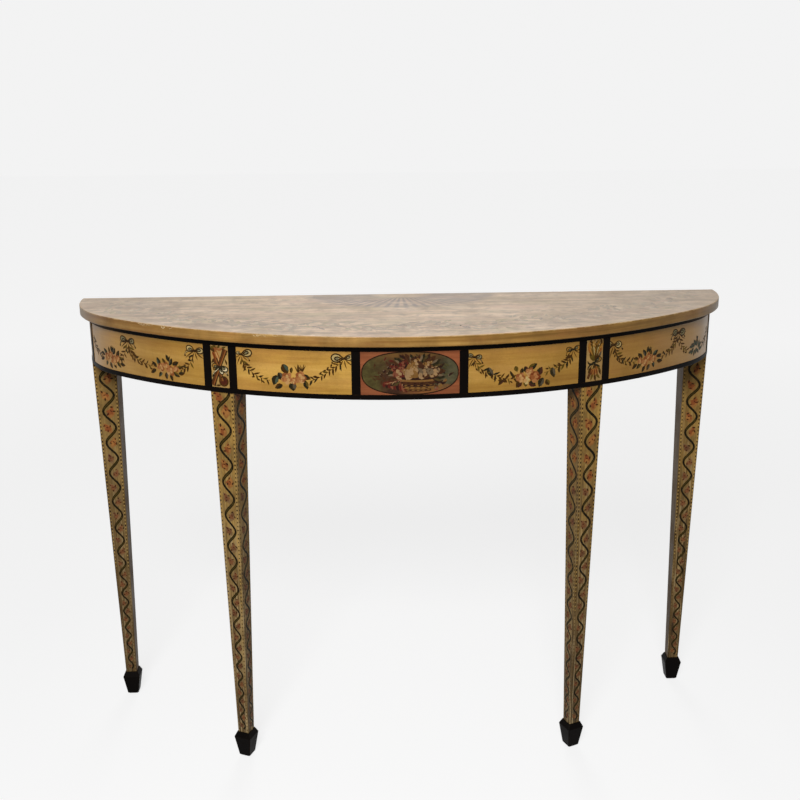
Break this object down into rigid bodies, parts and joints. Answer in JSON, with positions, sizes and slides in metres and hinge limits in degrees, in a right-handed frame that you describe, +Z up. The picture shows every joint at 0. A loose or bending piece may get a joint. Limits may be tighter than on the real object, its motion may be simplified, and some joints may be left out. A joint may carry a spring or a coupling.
{
  "type": "demilune table",
  "caption": "Half-oval painted side table with a bowed frieze of garlanded panels in black bands, on square tapered legs with black spade feet.",
  "frame": {"origin": "on the floor under the middle of the box round the table", "axes": "+X to the right along the straight back edge, +Y to the back, +Z up; the bowed front faces -Y"},
  "size_m": [1.276, 0.392, 0.864],
  "materials": {
    "painted_top": "oil paint under worn varnish",
    "painted_legs": "oil paint under worn varnish",
    "painted_frieze": "oil paint under worn varnish",
    "painted_tablet": "oil paint under worn varnish",
    "ebonised_wood": "black stain, satin",
    "bare_pine": "sawn and planed, aged",
    "screw_steel": "dull"
  },
  "bodies": {
    "root": {"top_board_front": "painted_top", "top_board_middle": "painted_top", "top_board_back": "painted_top", "leg_front_left": "painted_legs", "leg_front_right": "painted_legs", "leg_back_left": "painted_legs", "leg_back_right": "painted_legs", "panel_front_left": "painted_frieze", "panel_front_right": "painted_frieze", "panel_die_left": "painted_frieze", "panel_die_right": "painted_frieze", "panel_side_left": "painted_frieze", "panel_side_right": "painted_frieze", "panel_back_die_left": "painted_frieze", "panel_back_die_right": "painted_frieze", "panel_tablet": "painted_tablet", "band_top": "ebonised_wood", "band_bottom": "ebonised_wood", "stile_tablet_left": "ebonised_wood", "stile_tablet_right": "ebonised_wood", "stile_die_inner_left": "ebonised_wood", "stile_die_inner_right": "ebonised_wood", "stile_die_outer_left": "ebonised_wood", "stile_die_outer_right": "ebonised_wood", "stile_back_inner_left": "ebonised_wood", "stile_back_inner_right": "ebonised_wood", "stile_back_end_left": "ebonised_wood", "stile_back_end_right": "ebonised_wood", "foot_front_left": "ebonised_wood", "foot_front_right": "ebonised_wood", "foot_back_left": "ebonised_wood", "foot_back_right": "ebonised_wood", "frieze_bricks_lower": "bare_pine", "frieze_bricks_middle": "bare_pine", "frieze_bricks_upper": "bare_pine", "back_rail": "bare_pine", "bearer_left": "bare_pine", "bearer_right": "bare_pine", "glue_blocks_legs": "bare_pine", "glue_blocks_top": "bare_pine", "top_screws": "screw_steel"}
  },
  "joints": []
}
